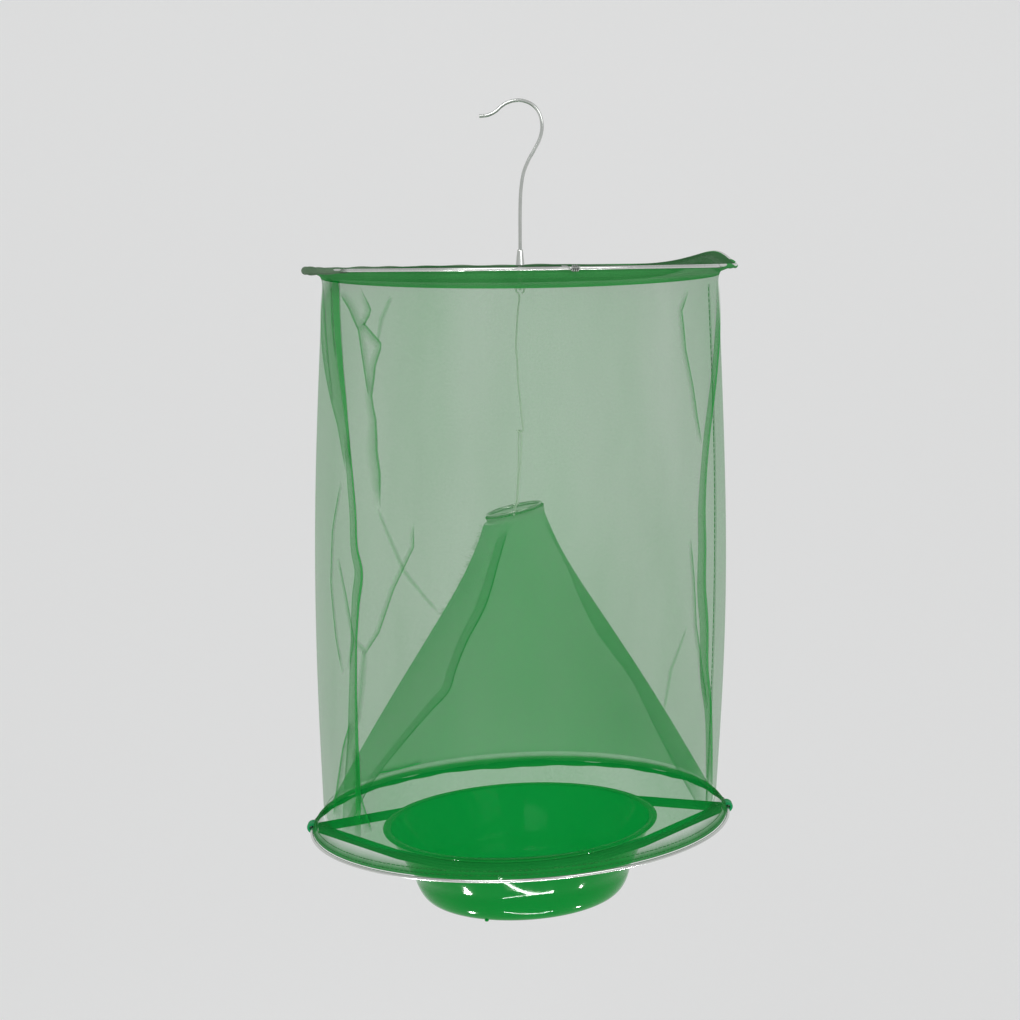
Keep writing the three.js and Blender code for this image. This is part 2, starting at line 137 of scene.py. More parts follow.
# %%
class Grids:
    """Collects grids of points and makes one mesh object of them."""

    def __init__(self, name):
        self.name = name
        self.points, self.faces, self.uvs, self.layers = [], [], [], []
        self.count = 0

    def add(self, points, wrap=False, layers=1.0, flip=False, across_wrap=False):
        """points[i, j] runs along i and across j. wrap joins the last i to the first."""
        p = np.asarray(points, float)
        rows, columns = p.shape[:2]
        along = np.linalg.norm(np.diff(p, axis=0, append=p[:1]), axis=2).mean(1)
        across = np.linalg.norm(np.diff(p, axis=1, append=p[:, :1]), axis=2).mean(0)
        u = np.concatenate([[0], np.cumsum(along)]) * MM
        v = np.concatenate([[0], np.cumsum(across)]) * MM
        for i in range(rows if wrap else rows - 1):
            for j in range(columns if across_wrap else columns - 1):
                corners = [(i, j), (i + 1, j), (i + 1, j + 1), (i, j + 1)]
                if flip:
                    corners.reverse()
                face = [self.count + (a % rows) * columns + b % columns for a, b in corners]
                self.faces.append(face)
                self.uvs.extend((u[a], v[b]) for a, b in corners)
        self.points.append(p.reshape(-1, 3))
        self.layers.append(np.broadcast_to(layers, (rows, columns)).ravel())
        self.count += rows * columns
        return self

    def cap(self, corners):
        """Closes the end of a tube with one face."""
        self.faces.append(corners)
        self.uvs.extend([(0, 0)] * len(corners))

    def finish(self, material, slot, body=None):
        """Makes the object, with its UV map, its layers value and its material."""
        mesh = bpy.data.meshes.new(self.name)
        mesh.from_pydata(np.concatenate(self.points) * MM, [], self.faces)
        uv = mesh.uv_layers.new(name="Weave")
        uv.data.foreach_set("uv", np.asarray(self.uvs, np.float32).ravel())
        layers = mesh.attributes.new("layers", "FLOAT", "POINT")
        layers.data.foreach_set("value", np.concatenate(self.layers).astype(np.float32))
        weld(mesh)
        return place(mesh, self.name, material, body)


def weld(mesh):
    """Joins points that lie on each other, as at the poles of a turned piece."""
    edit = bmesh.new()
    edit.from_mesh(mesh)
    bmesh.ops.remove_doubles(edit, verts=edit.verts, dist=1e-7)
    edit.to_mesh(mesh)
    edit.free()


def place(mesh, name, material, body):
    """Links a finished mesh as an object of the trap."""
    mesh.polygons.foreach_set("use_smooth", [True] * len(mesh.polygons))
    mesh.materials.clear()
    mesh.materials.append(material)
    mesh.validate()
    piece = bpy.data.objects.new(name, mesh)
    bpy.context.scene.collection.objects.link(piece)
    if body:
        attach(piece, body)
    print(f"{name}: {len(mesh.polygons)} faces on {body}")
    return piece


def smooth_path(points, per_span=8):
    """A smooth path through a few bends."""
    p = np.asarray(points, float)
    steps = np.linalg.norm(np.diff(p, axis=0), axis=1) ** 0.5
    knots = np.concatenate([[0], np.cumsum(steps)])
    slope = np.gradient(p, knots, axis=0)
    t = np.linspace(0, 1, per_span, endpoint=False)[:, None]
    out = []
    for i, step in enumerate(steps):
        out.append(
            (2 * t**3 - 3 * t**2 + 1) * p[i]
            + (t**3 - 2 * t**2 + t) * step * slope[i]
            + (3 * t**2 - 2 * t**3) * p[i + 1]
            + (t**3 - t**2) * step * slope[i + 1]
        )
    return np.concatenate([*out, p[-1:]])


def resampled(path, count):
    """The same path with evenly spaced points."""
    p = np.asarray(path, float)
    length = np.concatenate([[0], np.cumsum(np.linalg.norm(np.diff(p, axis=0), axis=1))])
    at = np.linspace(0, length[-1], count)
    return np.stack([np.interp(at, length, p[:, k]) for k in range(p.shape[1])], -1)


def circle(radius, count, z=0.0):
    """Points round a level circle."""
    angle = np.linspace(0, 2 * math.pi, count, endpoint=False)
    return np.stack([radius * np.cos(angle), radius * np.sin(angle), np.full(count, z)], -1)


# %% [markdown]
# ## Shader helper
#
# Shader maths is written as ordinary expressions on `Value`, which wraps a socket. Every other
# node is made by `Look.node`, which takes the node's type, its settings and its sockets.


# %%
class Value:
    """One number in a shader, which adds and multiplies like a number."""

    def __init__(self, look, socket):
        self.look, self.socket = look, socket

    def math(self, operation, *inputs):
        node = self.look.tree.nodes.new("ShaderNodeMath")
        node.operation = operation
        for place_in, value in zip(node.inputs, inputs):
            self.look.put(place_in, value)
        return Value(self.look, node.outputs[0])

    def __add__(self, other):
        return self.math("ADD", self, other)

    def __radd__(self, other):
        return self.math("ADD", other, self)

    def __sub__(self, other):
        return self.math("SUBTRACT", self, other)

    def __rsub__(self, other):
        return self.math("SUBTRACT", other, self)

    def __mul__(self, other):
        return self.math("MULTIPLY", self, other)

    def __rmul__(self, other):
        return self.math("MULTIPLY", other, self)

    def __rpow__(self, base):
        return self.math("POWER", base, self)

    def wave(self):
        return self.math("SINE", self)

    def clamped(self, low, high):
        return self.math("MINIMUM", self.math("MAXIMUM", self, low), high)


class Look:
    """A procedural material round one Principled shader."""

    def __init__(self, name, **constants):
        self.material = bpy.data.materials.new(name)
        self.material.use_nodes = True
        self.tree = self.material.node_tree
        self.shader = self.tree.nodes["Principled BSDF"]
        for socket, value in constants.items():
            self.shader.inputs[socket.replace("_", " ")].default_value = value

    def put(self, place_in, value):
        if isinstance(value, Value):
            self.tree.links.new(value.socket, place_in)
        elif isinstance(value, bpy.types.NodeSocket):
            self.tree.links.new(value, place_in)
        else:
            place_in.default_value = value

    def node(self, kind, settings=None, **sockets):
        node = self.tree.nodes.new(kind)
        for name, value in (settings or {}).items():
            setattr(node, name, value)
        for name, value in sockets.items():
            self.put(node.inputs[name.replace("_", " ")], value)
        return node

    def uv(self):
        return self.node("ShaderNodeUVMap", {"uv_map": "Weave"}).outputs["UV"]

    def place(self):
        return self.node("ShaderNodeTexCoord").outputs["Object"]

    def noise(self, where, per_metre, detail=2.0, stretch=(1, 1, 1)):
        scaled = self.node("ShaderNodeMapping", Vector=where, Scale=stretch)
        noise = self.node(
            "ShaderNodeTexNoise", Vector=scaled.outputs[0], Scale=per_metre, Detail=detail
        )
        return Value(self, noise.outputs[0])

    def axis(self, where, index):
        return Value(self, self.node("ShaderNodeSeparateXYZ", Vector=where).outputs[index])

    def attribute(self, name):
        found = self.node("ShaderNodeAttribute", {"attribute_name": name})
        return Value(self, found.outputs["Fac"])

    def mix(self, factor, first, second):
        node = self.tree.nodes.new("ShaderNodeMix")
        node.data_type = "RGBA"
        self.put(node.inputs[0], factor)
        self.put(node.inputs[6], first)
        self.put(node.inputs[7], second)
        return node.outputs[2]

    def drive(self, name, value):
        self.put(self.shader.inputs[name], value)

    def bump(self, height, distance, strength=1.0):
        node = self.node("ShaderNodeBump", Height=height, Distance=distance, Strength=strength)
        self.drive("Normal", node.outputs[0])


def srgb(red, green, blue):
    """A colour given in 0 to 255 display values, as linear light."""
    linear = [
        c / 12.92 if c <= 0.04045 else ((c + 0.055) / 1.055) ** 2.4
        for c in (red / 255, green / 255, blue / 255)
    ]
    return (*linear, 1.0)


# %% [markdown]
# ## Materials
#
# The net is polyester gauze: its threads are far finer than a millimetre, so it shows as an even
# veil with a fine grain. One layer stops `single` of the light, and where pleats lie on each
# other the veil gets denser by the same law, so `layers` drives the opacity.

# %%
THREAD = srgb(0, 140, 40)
THREAD_LIGHT = srgb(30, 158, 66)


def net_look(name, single, light, dark, grain=0.10, threads_per_metre=900):
    """Gauze that lets 1 - single of the light through each layer."""
    look = Look(name, Roughness=0.75, Specular_IOR_Level=0.0)
    uv = look.uv()
    cloud = look.noise(look.place(), 11, 4, (1, 1, 0.3))
    fine = look.noise(uv, threads_per_metre, 1)
    weave = (look.axis(uv, 0) * 5200).wave() * (look.axis(uv, 1) * 5200).wave()
    stopped = 1 - (1 - single) ** look.attribute("layers")
    alpha = stopped + (fine - 0.5) * grain * 2 + (cloud - 0.5) * 0.34 + weave * 0.02
    look.drive("Alpha", alpha.clamped(0, 0.97))
    look.drive("Base Color", look.mix((cloud * 1.4 - 0.2).clamped(0, 1), dark, light))
    return look.material


def fabric_look(name, light, dark, opacity, rows_per_metre=0, roughness=0.8):
    """Folded net or tape: nearly opaque, with rows of threads along it."""
    look = Look(name, Roughness=roughness, Specular_IOR_Level=0.08)
    uv = look.uv()
    fine = look.noise(uv, 1100, 2)
    patch = look.noise(look.place(), 30, 2)
    rows = (look.axis(uv, 1) * (rows_per_metre * 2 * math.pi)).wave() if rows_per_metre else 0.0
    tone = (patch * 0.9 + fine * 0.5 - 0.2 + rows * 0.06).clamped(0, 1)
    look.drive("Base Color", look.mix(tone, dark, light))
    look.bump(fine + rows * 0.2, 0.0002)
    if opacity < 1:
        alpha = look.attribute("layers") * opacity + (fine - 0.5) * 0.25
        look.drive("Alpha", alpha.clamped(0, 0.99))
    return look.material


def thread_look(name, light, dark):
    """Sewing thread: too thin for more than a change of tone along it."""
    look = Look(name, Roughness=0.8, Specular_IOR_Level=0.2)
    look.drive("Base Color", look.mix(look.noise(look.place(), 400), dark, light))
    return look.material


def steel_look(name, tone, roughness, metallic=1.0):
    """Drawn wire: fine marks along it and a little unevenness of shine."""
    look = Look(name, Metallic=metallic)
    marks = look.noise(look.place(), 900, 2, (1, 1, 0.2))
    look.drive("Roughness", (roughness + (marks - 0.5) * 0.16).clamped(0.05, 1))
    bright = tuple(min(1, c * 1.12) for c in tone[:3]) + (1,)
    look.drive("Base Color", look.mix(marks, tone, bright))
    look.bump(marks, 0.00003)
    return look.material


def plastic_look(name, light, dark, roughness, inside=None):
    """Moulded or taped plastic with faint waviness and handling marks. inside is the colour
    where `layers` is 1: a painted lighter tone that stands in for light on the bowl's inner faces."""
    look = Look(name, Specular_IOR_Level=0.1)
    wavy = look.noise(look.place(), 22, 2)
    scuff = look.noise(look.place(), 260, 3)
    look.drive("Roughness", (roughness + (scuff - 0.5) * 0.14).clamped(0.05, 1))
    tone = look.mix(wavy, dark, light)
    # inside paints the inner faces lighter than the outer ones: painted light, not a colour of the plastic.
    if inside:
        tone = look.mix(look.attribute("layers").clamped(0, 1), tone, inside)
    look.drive("Base Color", tone)
    look.bump(wavy + scuff * 0.04, 0.0001)
    return look.material


net = net_look("sheer_net", 0.34, THREAD_LIGHT, THREAD, 0.05)
cone_gauze = net_look("cone_net", 0.42, srgb(22, 176, 90), srgb(0, 158, 62), 0.07)
# The top panel's grey-green is a painted sheen: the light its upper side catches, put into its colour.
panel_gauze_painted_sheen = net_look("panel_net_painted_sheen", 0.72, srgb(78, 118, 82), srgb(40, 92, 48), 0.10)
hem = fabric_look("folded_hem", srgb(34, 140, 62), srgb(0, 116, 38), 0.8, 420)
rolled_hem = fabric_look("rolled_hem", srgb(72, 160, 86), srgb(38, 134, 58), 0.85, 420)
# The rim fold's pale grey-green is a painted sheen on the upper side of the net wrapped over the wire.
rim_fold = fabric_look("rim_fold", srgb(118, 140, 116), srgb(70, 104, 72), 0.9, 600)
hem_dense = fabric_look("stitched_hem", srgb(20, 126, 52), srgb(0, 100, 34), 0.95, 420)
stitching = thread_look("thread", srgb(50, 140, 66), srgb(24, 108, 44))
webbing = fabric_look("woven_strap", srgb(10, 148, 62), srgb(0, 116, 40), 1, 650, 0.6)
steel = steel_look("bright_wire", srgb(205, 208, 204), 0.2)
dull_steel = steel_look("binding_wire", srgb(150, 154, 150), 0.35)
tape = plastic_look("shiny_tape", srgb(34, 172, 108), srgb(10, 140, 70), 0.25)
# The bowl's inner faces get a lighter green than its outer ones: painted light inside the bowl.
bowl_plastic = plastic_look("bowl_plastic", srgb(0, 158, 60), srgb(0, 146, 50), 0.06, srgb(0, 202, 92))
pale_steel = steel_look("galvanised_wire", srgb(232, 236, 228), 0.5, 0.35)

# %% [markdown]
# ## Round wire
#
# Every wire on the trap is drawn wire bent along a path, so one Geometry Nodes tree makes them
# all: the path's edges become a curve, and a round section is swept along it. A tube swept by
# hand would do the same with more code and worse twist.


# %%
def add_node(tree, kind, links=None, **settings):
    node = tree.nodes.new(kind)
    for name, value in settings.items():
        setattr(node, name, value)
    for name, value in (links or {}).items():
        target = node.inputs[name]
        if isinstance(value, bpy.types.NodeSocket):
            tree.links.new(value, target)
        else:
            target.default_value = value
    return node


def new_tree(name, **inputs):
    """An empty tree with a geometry input and output and the named inputs."""
    tree = bpy.data.node_groups.new(name, "GeometryNodeTree")
    tree.interface.new_socket("Geometry", in_out="INPUT", socket_type="NodeSocketGeometry")
    for title, (kind, value) in inputs.items():
        socket = tree.interface.new_socket(
            title.replace("_", " "), in_out="INPUT", socket_type=kind
        )
        if value is not None:
            socket.default_value = value
    tree.interface.new_socket("Geometry", in_out="OUTPUT", socket_type="NodeSocketGeometry")
    return tree, tree.nodes.new("NodeGroupInput"), tree.nodes.new("NodeGroupOutput")


def wire_tree():
    tree, given, out = new_tree(
        "round_wire",
        Radius=("NodeSocketFloat", 0.001),
        Sides=("NodeSocketInt", 12),
        Material=("NodeSocketMaterial", None),
    )
    path = add_node(tree, "GeometryNodeMeshToCurve", {"Mesh": given.outputs["Geometry"]})
    section = add_node(
        tree,
        "GeometryNodeCurvePrimitiveCircle",
        {"Resolution": given.outputs["Sides"], "Radius": given.outputs["Radius"]},
    )
    swept = add_node(
        tree,
        "GeometryNodeCurveToMesh",
        {"Curve": path.outputs[0], "Profile Curve": section.outputs[0], "Fill Caps": True},
    )
    whole = add_node(tree, "GeometryNodeRealizeInstances", {"Geometry": swept.outputs[0]})
    dressed = add_node(
        tree,
        "GeometryNodeSetMaterial",
        {"Geometry": whole.outputs[0], "Material": given.outputs["Material"]},
    )
    tree.links.new(dressed.outputs[0], out.inputs[0])
    return tree


def stitch_tree():
    """Stitches along a path: short round threads at an even spacing, each a little different in size."""
    tree, given, out = new_tree(
        "stitches",
        Spacing=("NodeSocketFloat", 0.003),
        Length=("NodeSocketFloat", 0.002),
        Thread=("NodeSocketFloat", 0.0003),
        Seed=("NodeSocketInt", SEED),
        Material=("NodeSocketMaterial", None),
    )
    path = add_node(tree, "GeometryNodeMeshToCurve", {"Mesh": given.outputs["Geometry"]})
    spaced = add_node(
        tree,
        "GeometryNodeResampleCurve",
        {"Curve": path.outputs[0], "Length": given.outputs["Spacing"]},
        mode="LENGTH",
    )
    thread = add_node(
        tree,
        "GeometryNodeMeshCylinder",
        {"Vertices": 5, "Radius": given.outputs["Thread"], "Depth": given.outputs["Length"]},
    )
    tangent = add_node(tree, "GeometryNodeInputTangent")
    turn = add_node(
        tree, "FunctionNodeAlignRotationToVector", {"Vector": tangent.outputs[0]}, axis="Z"
    )
    size = add_node(
        tree,
        "FunctionNodeRandomValue",
        {"Min": (0.9, 0.9, 0.8), "Max": (1.1, 1.1, 1.15), "Seed": given.outputs["Seed"]},
        data_type="FLOAT_VECTOR",
    )
    placed = add_node(
        tree,
        "GeometryNodeInstanceOnPoints",
        {
            "Points": spaced.outputs[0],
            "Instance": thread.outputs[0],
            "Rotation": turn.outputs[0],
            "Scale": size.outputs[0],
        },
    )
    whole = add_node(tree, "GeometryNodeRealizeInstances", {"Geometry": placed.outputs[0]})
    dressed = add_node(
        tree,
        "GeometryNodeSetMaterial",
        {"Geometry": whole.outputs[0], "Material": given.outputs["Material"]},
    )
    tree.links.new(dressed.outputs[0], out.inputs[0])
    return tree


def grown(name, tree, paths, material, slot, body, **inputs):
    """Runs a tree on paths of points and keeps what it makes as a plain mesh."""
    points, edges = [], []
    for path, is_closed in paths:
        first = len(points)
        points.extend(np.asarray(path, float) * MM)
        edges.extend((first + i, first + i + 1) for i in range(len(path) - 1))
        if is_closed:
            edges.append((first + len(path) - 1, first))
    mesh = bpy.data.meshes.new(name + "_path")
    mesh.from_pydata(points, edges, [])
    seedling = bpy.data.objects.new(name + "_path", mesh)
    bpy.context.scene.collection.objects.link(seedling)
    modifier = seedling.modifiers.new("grow", "NODES")
    modifier.node_group = tree
    named = {i.name: i.identifier for i in tree.interface.items_tree if i.in_out == "INPUT"}
    modifier[named["Material"]] = material
    for title, value in inputs.items():
        modifier[named[title]] = value
    graph = bpy.context.evaluated_depsgraph_get()
    made = bpy.data.meshes.new_from_object(seedling.evaluated_get(graph))
    made.name = name
    bpy.data.objects.remove(seedling)
    return place(made, name, material, body)


WIRES = wire_tree()
STITCHES = stitch_tree()


def wire(name, paths, radius, body, material=steel, slot="bright_wire", sides=12):
    return grown(
        name, WIRES, paths, material, slot, body, Radius=radius * MM, Sides=sides
    )


def stitches(name, paths, body, slot="hem", spacing=3.0, length=2.1, thread=0.22):
    return grown(
        name, STITCHES, paths, stitching, slot, body,
        Spacing=spacing * MM, Length=length * MM, Thread=thread * MM,
    )


# %% [markdown]
# ## Hook and ferrule
#
# One piece of galvanised wire: a swept-back free end, a crown, a stem through the top panel and
# an eye below it. A small cone of pressed metal sits round the stem on the panel.

# %%
HOOK_WIRE = 0.95
EYE_Z = PIVOT_Z + 3.8
stem = [
    (-21.7, -7.3), (-17.5, -6.9), (-13.3, -5.0), (-9.8, -2.0), (-6.2, 0.0), (0, 0.95),
    (6.2, -1.2), (10.2, -6.0), (11.6, -12.5), (10.6, -18.5), (8.0, -24.0), (4.6, -30.0),
    (1.8, -37.0), (0.4, -46.0), (0, -56.0), (0, TOP_Z + 16), (0, TOP_Z + 8),
    (0, TOP_Z + 3), (0, TOP_Z), (0, TOP_Z - 1.4),
]
hook_path = [(x, 0, z) for x, z in stem]
for degrees in range(60, -241, -20):
    angle = math.radians(degrees)
    hook_path.append((0, 3.8 * math.cos(angle), EYE_Z + 3.8 * math.sin(angle)))
hook = wire("hook_wire", [(smooth_path(hook_path), False)], HOOK_WIRE, "hook", sides=16)
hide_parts("hanging_hook")


def lathe(name, outline, segments, material, slot, body, move=lambda p: p, layers=1.0):
    """Turns a closed outline of (radius, height) about Z. layers is one value for each point."""
    angle = np.linspace(0, 2 * math.pi, segments, endpoint=False)[:, None]
    outline = np.asarray(outline, float)
    radius, height = outline[:, 0], outline[:, 1]
    points = np.stack(
        [radius * np.cos(angle), radius * np.sin(angle), np.broadcast_to(height, (segments, len(height)))],
        -1,
    )
    made = Grids(name).add(move(points), wrap=True, across_wrap=True, layers=layers)
    return made.finish(material, slot, body)


FERRULE_Z = TOP_Z + 0.6
ferrule = lathe(
    "ferrule_cone",
    [
        (1.1, FERRULE_Z), (2.3, FERRULE_Z), (2.5, FERRULE_Z + 0.3), (2.35, FERRULE_Z + 1.0),
        (1.62, FERRULE_Z + 8.0), (1.5, FERRULE_Z + 8.7), (1.3, FERRULE_Z + 9.0), (1.1, FERRULE_Z + 8.9),
    ],
    32, steel, "bright_wire", "hook",
)
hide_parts("hook_ferrule")

# %% [markdown]
# ## Hoops and their ties
#
# Spring wire coiled into a hoop with its ends tied by a few turns of fine wire. The wire hoop is
# slightly out of true, as a coil that is folded and opened again always is.

# %%
ROUND = 240


def on_top_hoop(points):
    """Points given level in the top hoop's plane, moved to follow the hoop."""
    p = np.array(points, float)
    p[..., 2] += TOP_Z + top_rise(p[..., 0], p[..., 1])
    return p


def binding(at_degrees, move):
    """Turns of fine wire round the hoop, with the two cut ends bent off."""
    around = HOOP_WIRE + 0.45
    steps = np.linspace(-0.15, 3.15, 90)
    turn = 2 * math.pi * steps
    angle = math.radians(at_degrees) + (steps - 1.5) * 1.0 / HOOP
    radius = HOOP + around * np.cos(turn)
    points = np.stack([radius * np.cos(angle), radius * np.sin(angle), around * np.sin(turn)], -1)
    back_along = np.array([math.sin(math.radians(at_degrees)), -math.cos(math.radians(at_degrees)), 0])
    tail = [points[0] + back_along * 5.2 + (0, 0, 2.2), points[0] + back_along * 2.6 + (0, 0, 2.0)]
    return move(np.concatenate([tail, points]))


top_hoop = wire("top_hoop_wire", [(on_top_hoop(circle(HOOP, ROUND)), True)], HOOP_WIRE, "cage_top", sides=16)
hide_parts("top_hoop")
bottom_hoop = wire("bottom_hoop_wire", [(tilted(circle(HOOP, ROUND)), True)], HOOP_WIRE, "cage_bottom", sides=16)
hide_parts("bottom_hoop")
top_tie = wire("top_tie_coil", [(binding(-77, on_top_hoop), False)], 0.4, "cage_top", dull_steel, "binding_wire", 8)
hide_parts("top_hoop_tie")
bottom_tie = wire("bottom_tie_coil", [(binding(100, tilted), False)], 0.4, "cage_bottom", dull_steel, "binding_wire", 8)
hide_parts("bottom_hoop_tie")

# %% [markdown]
# ## The cage net
#
# A tube of gauze a little wider than the hoops' path, so it hangs in pleats where the slack
# gathers: a deep one at the left and one along the seam at the right, with creases running out
# of them. The tube is one grid, and each pleat is the same cloth folded over, laid against it.

# %%
NET_HEIGHT = NET_TOP_Z - NET_BOTTOM_Z


def net_radius(share):
    """Radius of the tube, barrelled out between its ends. share runs from the top down."""
    return 105.7 + 2.3 * share + 4.55 * np.sin(math.pi * share)


def on_net(degrees, drop, out=0.0):
    """The point on the tube at an angle and a drop below the top hoop's plane."""
    drop = np.asarray(drop, float)
    share = np.clip((drop - 9.3) / NET_HEIGHT, -0.03, 1)
    angle = np.radians(degrees)
    ripple = 0.5 * np.sin(angle * 5 + share * 2.1) + 0.35 * np.sin(angle * 11 - share * 4.0)
    under_hem = np.clip(-share / 0.03, 0, 1)
    radius = net_radius(share) + ripple * np.sin(math.pi * np.clip(share, 0, 1)) + out
    radius = radius + under_hem**2 * 2.5
    x, y = radius * np.cos(angle), radius * np.sin(angle)
    z = TOP_Z - 9.3 - share * NET_HEIGHT
    return np.stack([x, y, z + top_rise(x, y) * (1 - share) + bottom_rise(x) * share], -1)


def strip(path, half_widths, profile, surface, radius_at, out, samples=90, gentle=True):
    """A pleat laid along a path of (degrees, height) on a surface: its points and its layers.

    profile is a list of (across, layers), with across from -1 to 1 of the half width."""
    centre = resampled(smooth_path(path) if gentle else path, samples)
    radius = radius_at(centre[:, 1])[:, None]
    run = np.gradient(centre, axis=0) * np.concatenate([np.radians(radius), np.ones_like(radius)], 1)
    run /= np.linalg.norm(run, axis=1, keepdims=True)
    share = np.linspace(0, 1, samples)
    widths = np.interp(share, np.linspace(0, 1, len(half_widths)), half_widths)
    offset = widths[:, None] * np.array([across for across, _ in profile])
    degrees = centre[:, :1] + np.degrees(offset * run[:, 1:] / radius)
    height = centre[:, 1:] - offset * run[:, :1]
    fade = np.clip(np.minimum(share, 1 - share) * samples / 8, 0, 1)[:, None]
    return surface(degrees, height, out), fade * np.array([layers for _, layers in profile])


def net_radius_at(drop):
    return net_radius(np.clip((drop - 9.3) / NET_HEIGHT, 0, 1))


SOFT = [(-1, 0), (-0.5, 0.5), (0, 1.1), (0.5, 0.5), (1, 0)]
CRISP = [(-1, 0), (-0.1, 0.7), (0.5, 1.3), (0.75, 3.6), (1, 0)]
CRISP_LEFT = [(-a, n) for a, n in reversed(CRISP)]
PLEAT = [(-1, 0), (-0.9, 2.4), (-0.6, 1.4), (0.3, 1.9), (0.55, 3.8), (0.88, 4.4), (1, 0)]
BAND = [(-1, 0), (-0.85, 2.2), (-0.5, 1.9), (0.2, 2.3), (0.5, 3.4), (0.85, 3.6), (1, 0)]

pleats = [
    # the deep pleat at the left: broad at the top hem, narrow by a third of the way down
    ([(-164, 5), (-158.5, 28), (-152.5, 50), (-146, 75), (-141.9, 100)], [26, 19, 12, 6, 3], PLEAT),
    ([(-143.5, 80), (-141, 105), (-139.6, 121), (-138.8, 139), (-137, 150), (-138.2, 165),
      (-139.2, 185), (-140.2, 211), (-141.8, 248), (-145, 291)], [2.6, 3, 3, 3.6, 2.8, 3.6, 5.2, 8.5, 10], PLEAT),
    # fine wrinkles inside its broad end
    ([(-168, 6), (-163, 26), (-157, 48), (-152, 66)], [2, 3, 2.4, 1.4], CRISP),
    ([(-157, 6), (-155, 22), (-151, 44)], [1.6, 2.4, 1.4], CRISP_LEFT),
    # creases that run out of it
    ([(-140.1, 9.4), (-135.6, 20), (-138.7, 27), (-131.1, 37), (-133.3, 46), (-134.5, 62),
      (-132.7, 74), (-132.5, 89), (-131.2, 100), (-130.1, 117)], [2.2, 3, 2.8, 3.6, 3.2, 4.6, 4.4, 2.2], CRISP),
    ([(-149.4, 9.4), (-143.6, 17), (-138.3, 28), (-135.7, 45), (-133.5, 62)], [3, 3.4, 3, 2], CRISP_LEFT),
    ([(-127, 13), (-130.2, 24), (-131.5, 36)], [1.6, 2.2, 1.4], SOFT),
    ([(-130.1, 117), (-121, 148), (-111, 168)], [1.4, 1.8, 1.2], SOFT),
    ([(-118.8, 124), (-118.8, 135), (-125.3, 157), (-130.2, 179), (-136, 193)], [1.2, 1.6, 1.8, 1.4], CRISP),
    ([(-144.8, 106), (-149.3, 132), (-150.4, 159), (-147.7, 186), (-144.4, 204)], [1.4, 2, 2, 1.6], CRISP_LEFT),
    ([(-146.3, 145), (-142.8, 163), (-139.6, 185), (-141.8, 201)], [1.2, 1.8, 1.4], CRISP),
    ([(-139.1, 185), (-134.8, 190), (-136.6, 210), (-138.6, 229)], [2, 3.4, 2.2], SOFT),
    ([(-140.5, 229), (-145, 245), (-147.7, 259), (-153, 285)], [3, 4, 5, 6], CRISP_LEFT),
    ([(-140.5, 242), (-140.4, 263), (-136, 285)], [2, 2.6, 3.6], CRISP),
    # the pleat along the seam at the right, and the creases beside it
    ([(-12, 9.4), (-14.5, 27), (-20, 46), (-25, 66), (-29, 85), (-31.6, 105), (-33, 126),
      (-32.8, 146), (-33, 167), (-31.1, 188), (-30.2, 214), (-26.7, 234), (-22, 291)],
     [8.5, 7.5, 5.2, 4.2, 4, 4.6, 5.2, 5.6, 5.8, 5.8, 5.4, 6, 7], BAND),
    ([(-38, 11), (-42, 22), (-40.9, 42), (-37.9, 61), (-36.3, 75), (-33.5, 92)], [1.8, 2.6, 2.4, 2.8, 2], CRISP),
    ([(-39.8, 139), (-38.1, 161), (-36.8, 186), (-32.3, 213), (-28, 234)], [1.6, 2.2, 2.4, 2], CRISP),
    ([(-40.9, 185), (-47, 205), (-49.2, 226)], [1.2, 1.8, 1.2], SOFT),
]

COLUMNS, ROWS = 420, 110
angles = np.linspace(0, 360, COLUMNS, endpoint=False)[:, None]
drops = np.concatenate([[1.5, 3, 5, 7], np.linspace(9.3, 9.3 + NET_HEIGHT, ROWS)])[None, :]
cage = Grids("cage_gauze").add(on_net(*np.broadcast_arrays(angles, drops)), wrap=True, flip=True)
for index, (path, widths, profile) in enumerate(pleats):
    out = 0.35 + 0.03 * index
    gentle = profile in (PLEAT, BAND)
    points, layers = strip(path, widths, profile, on_net, net_radius_at, out, gentle=gentle)
    cage.add(points, layers=layers)
cage_net = cage.finish(net, "net", "cage_top")
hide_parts("cage_net")

# %% [markdown]
# The tube's own seam: both edges turned in and run together, so it is a narrow band several
# layers thick, with a row of stitches down it.

# %%
seam_path = [(-22, 9.4), (-22, 100), (-22, 200), (-22, 292)]
seam_profile = [(-1, 0.25), (-0.8, 0.45), (0, 0.35), (0.8, 0.45), (1, 0.25)]
points, _ = strip(seam_path, [2, 2], seam_profile, on_net, net_radius_at, -0.8)
seam_band = Grids("side_seam_band").add(points, layers=[n for _, n in seam_profile]).finish(hem, "hem", "cage_top")
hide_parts("side_seam")
seam_line = on_net(np.full(120, -22.0), np.linspace(12, 289, 120), -1.2)
seam_stitches = stitches("side_seam_stitches", [(seam_line, False)], "cage_top")

# %% [markdown]
# ## Top panel, patch and top hem
#
# A disc of net sewn to the top hoop, doubled where the stem goes through. Its rim and the tube's
# upper edge are folded together round the wire, which leaves the wire bare along the front.

